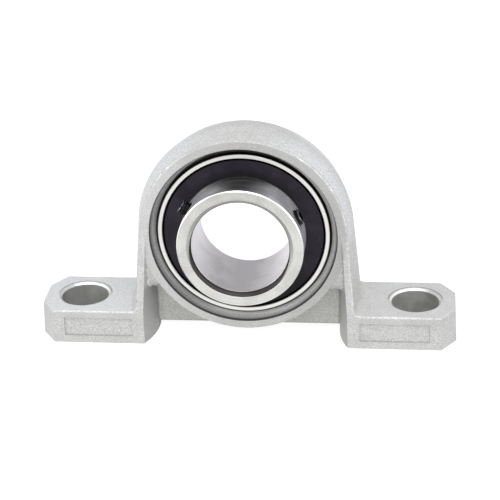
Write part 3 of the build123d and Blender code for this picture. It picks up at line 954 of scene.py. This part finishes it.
def screw_mesh(name, sizes, turn, stand_out):
    """Mesh of a set screw in its place in the collar, with the places marked that rubbing turns grey, on the rims
    partly as a painted highlight.
    """
    shape = screw_shape(sizes)
    crest = sizes.diameter / 2
    rubbed_and_highlight = shape.verts.layers.float.new("rubbed_and_highlight")
    for vert in shape.verts:
        across = Vector((vert.co.x, vert.co.y)).length
        on_crest = across > crest - CREST_BAND
        # Rims fully grey, partly as a painted highlight; crests faintly grey from rubbing
        on_rim = vert.co.z > -RIM_BAND and across > crest - sizes.end_bevel - RIM_BAND
        vert[rubbed_and_highlight] = 1.0 if on_rim else 0.08 if on_crest else 0.0
    outwards = Vector((cos(turn), 0, sin(turn)))
    along = Vector((0, 1, 0))
    columns = (along, outwards.cross(along), outwards)
    centre = outwards * (INNER_RING_R + stand_out)
    centre += Vector((0, COLLAR_END_Y + sizes.setback, SHAFT_HEIGHT))
    bmesh.ops.transform(
        shape, matrix=Matrix.Translation(centre) @ Matrix(columns).transposed().to_4x4(), verts=shape.verts
    )
    mesh = bpy.data.meshes.new(name)
    shape.to_mesh(mesh)
    shape.free()
    mesh.shade_smooth()
    mesh.set_sharp_from_angle(angle=SHARP_ANGLE)
    return mesh


class BEARING_OT_finish_housing(bpy.types.Operator):
    """Give the housing its die-cast zinc"""

    bl_idname = "bearing.finish_housing"
    bl_label = "Finish housing"

    def execute(self, context):
        dress(cast_zinc_material(context.scene.bearing_zinc), "housing")
        return {"FINISHED"}


class BEARING_OT_finish_rings(bpy.types.Operator):
    """Give the inner and outer ring their ground steel"""

    bl_idname = "bearing.finish_rings"
    bl_label = "Finish rings"

    def execute(self, context):
        dress(ring_steel_material(context.scene.bearing_steel), "inner_ring", "outer_ring")
        return {"FINISHED"}


class BEARING_OT_finish_seals(bpy.types.Operator):
    """Give both seals their black rubber"""

    bl_idname = "bearing.finish_seals"
    bl_label = "Finish seals"

    def execute(self, context):
        dress(seal_material(context.scene.bearing_seals), "seal_front", "seal_back")
        return {"FINISHED"}


class BEARING_OT_finish_rolling_parts(bpy.types.Operator):
    """Give the balls, the cage, its rivets and the discs inside the seals their steel"""

    bl_idname = "bearing.finish_rolling_parts"
    bl_label = "Finish rolling parts"

    def execute(self, context):
        finish = context.scene.bearing_rolling
        balls = [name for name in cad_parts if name.startswith("ball_")]
        dress(ball_steel_material(finish), *balls)
        pressed = ("cage_front", "cage_back", "cage_rivets", "seal_front_core", "seal_back_core")
        dress(pressed_steel_material(finish), *pressed)
        return {"FINISHED"}


class BEARING_OT_make_set_screws(bpy.types.Operator):
    """Make the two threaded set screws in the collar"""

    bl_idname = "bearing.make_set_screws"
    bl_label = "Make set screws"

    def execute(self, context):
        sizes = context.scene.bearing_screws
        material = black_oxide_material(sizes)
        for number, stand_out in enumerate((sizes.stand_out_1, sizes.stand_out_2)):
            node = f"set_screw_{number + 1}"
            name = f"threaded_{node}"
            mesh = screw_mesh(name, sizes, sizes.turn + number * sizes.spacing, stand_out)
            mesh.materials.append(material)
            screw = bpy.data.objects.new(name, mesh)
            context.scene.collection.objects.link(screw)
            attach(screw, node)
            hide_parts(node)
            dress(material, node)
        return {"FINISHED"}


def floor_material(studio):
    """Pale floor that shows as the white background and keeps a soft shadow."""
    material = bpy.data.materials.new("Pale floor")
    material.use_nodes = True
    tree = material.node_tree
    tree.nodes.clear()
    spot = tree.nodes.new("ShaderNodeTexCoord").outputs["Object"]
    mottle = noise(tree, spot, 50.0 * MM)
    colour = mix(tree, mottle, rgba(studio.floor), darker(studio.floor, 0.98))
    bounce = place(tree, "ShaderNodeBsdfDiffuse", {"Color": colour})
    catcher = place(tree, "ShaderNodeBsdfDiffuse", {"Color": rgba([FLOOR_CATCH] * 3)})
    glow = place(tree, "ShaderNodeEmission", {"Color": rgba([1.0] * 3), "Strength": FLOOR_GLOW})
    seen = place(tree, "ShaderNodeAddShader", {0: catcher.outputs[0], 1: glow.outputs[0]})
    shader = place(tree, "ShaderNodeMixShader", {0: direct_look(tree), 1: bounce.outputs[0], 2: seen.outputs[0]})
    result = tree.nodes.new("ShaderNodeOutputMaterial")
    tree.links.new(shader.outputs[0], result.inputs["Surface"])
    return material


def direct_look(tree):
    """Mask of the rays that show the background: straight from the camera, mirrored or through glass."""
    path = tree.nodes.new("ShaderNodeLightPath")
    mirrored = calc(tree, "MAXIMUM", path.outputs["Is Glossy Ray"], path.outputs["Is Transmission Ray"])
    return calc(tree, "MAXIMUM", path.outputs["Is Camera Ray"], mirrored)


def add_lamp(scene, aim, name, place_at, size, power, colour):
    """Square soft box that points at the object."""
    lamp = bpy.data.lights.new(name, "AREA")
    lamp.shape = "SQUARE"
    lamp.size = size
    lamp.energy = power
    lamp.color = colour
    holder = bpy.data.objects.new(name, lamp)
    holder.location = place_at
    holder.rotation_euler = (Vector(aim) - Vector(place_at)).to_track_quat("-Z", "Y").to_euler()
    scene.collection.objects.link(holder)


def add_camera(scene, studio):
    """Camera at the photograph's viewing angle."""
    turn, height, roll = studio.azimuth, studio.elevation, studio.roll
    back = Vector((sin(turn) * cos(height), -cos(turn) * cos(height), sin(height)))
    right = Vector((cos(turn), sin(turn), 0.0))
    up = back.cross(right)
    tilted_right = cos(roll) * right + sin(roll) * up
    tilted_up = cos(roll) * up - sin(roll) * right
    lens = bpy.data.cameras.new("photo_camera")
    lens.lens = studio.lens
    lens.sensor_width = 36.0
    lens.clip_start = 0.01
    camera = bpy.data.objects.new("photo_camera", lens)
    place_at = Vector((0, 0, SHAFT_HEIGHT)) + back * studio.distance
    place_at -= right * studio.slide_right + up * studio.slide_up
    turned = Matrix((tilted_right, tilted_up, back)).transposed().to_4x4()
    camera.matrix_world = Matrix.Translation(place_at) @ turned
    scene.collection.objects.link(camera)
    scene.camera = camera


class BEARING_OT_set_studio(bpy.types.Operator):
    """Set the camera, the soft lamps, the white surroundings and the floor"""

    bl_idname = "bearing.set_studio"
    bl_label = "Set studio"

    def execute(self, context):
        scene = context.scene
        studio = scene.bearing_studio
        scene.view_settings.view_transform = "Standard"
        add_camera(scene, studio)

        world = bpy.data.worlds.new("White room")
        scene.world = world
        world.use_nodes = True
        tree = world.node_tree
        tree.nodes.clear()
        room = place(tree, "ShaderNodeBackground", {"Color": rgba(studio.sky), "Strength": studio.sky_strength})
        white = place(tree, "ShaderNodeBackground", {"Color": rgba([1.0] * 3), "Strength": 1.0})
        shader = place(tree, "ShaderNodeMixShader", {0: direct_look(tree), 1: room.outputs[0], 2: white.outputs[0]})
        result = tree.nodes.new("ShaderNodeOutputWorld")
        tree.links.new(shader.outputs[0], result.inputs["Surface"])

        for lamp in LAMPS:
            add_lamp(scene, (0, 0, SHAFT_HEIGHT), *lamp)

        shape = bmesh.new()
        bmesh.ops.create_grid(shape, x_segments=8, y_segments=8, size=studio.floor_size / 2)
        mesh = bpy.data.meshes.new("floor")
        shape.to_mesh(mesh)
        shape.free()
        mesh.materials.append(floor_material(studio))
        floor = bpy.data.objects.new("floor", mesh)
        scene.collection.objects.link(floor)
        return {"FINISHED"}


OPERATORS = (
    BEARING_OT_finish_housing,
    BEARING_OT_finish_rings,
    BEARING_OT_finish_seals,
    BEARING_OT_finish_rolling_parts,
    BEARING_OT_make_set_screws,
    BEARING_OT_set_studio,
)
SETTINGS = {
    "bearing_zinc": CastZincFinish,
    "bearing_steel": SteelFinish,
    "bearing_seals": SealFinish,
    "bearing_rolling": RollingFinish,
    "bearing_screws": SetScrewSizes,
    "bearing_studio": StudioSettings,
}


class BEARING_PT_sidebar(bpy.types.Panel):
    """Sizes, colours and pieces of the bearing"""

    bl_idname = "BEARING_PT_sidebar"
    bl_label = "Pillow Block Bearing"
    bl_space_type = "VIEW_3D"
    bl_region_type = "UI"
    bl_category = "Bearing"

    def draw(self, context):
        for operator in OPERATORS:
            self.layout.operator(operator.bl_idname)
        for name, group in SETTINGS.items():
            box = self.layout.box()
            settings = getattr(context.scene, name)
            for field in group.__annotations__:
                box.prop(settings, field)


CLASSES = (*SETTINGS.values(), *OPERATORS, BEARING_PT_sidebar)


def register():
    for item in CLASSES:
        bpy.utils.register_class(item)
    for name, group in SETTINGS.items():
        setattr(bpy.types.Scene, name, PointerProperty(type=group))


def unregister():
    for name in SETTINGS:
        delattr(bpy.types.Scene, name)
    for item in reversed(CLASSES):
        bpy.utils.unregister_class(item)


def main():
    """Registers the add-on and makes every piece."""
    register()
    bpy.ops.bearing.finish_housing()
    bpy.ops.bearing.finish_rings()
    bpy.ops.bearing.finish_seals()
    bpy.ops.bearing.finish_rolling_parts()
    bpy.ops.bearing.make_set_screws()
    bpy.ops.bearing.set_studio()


if __name__ == "__main__":
    main()
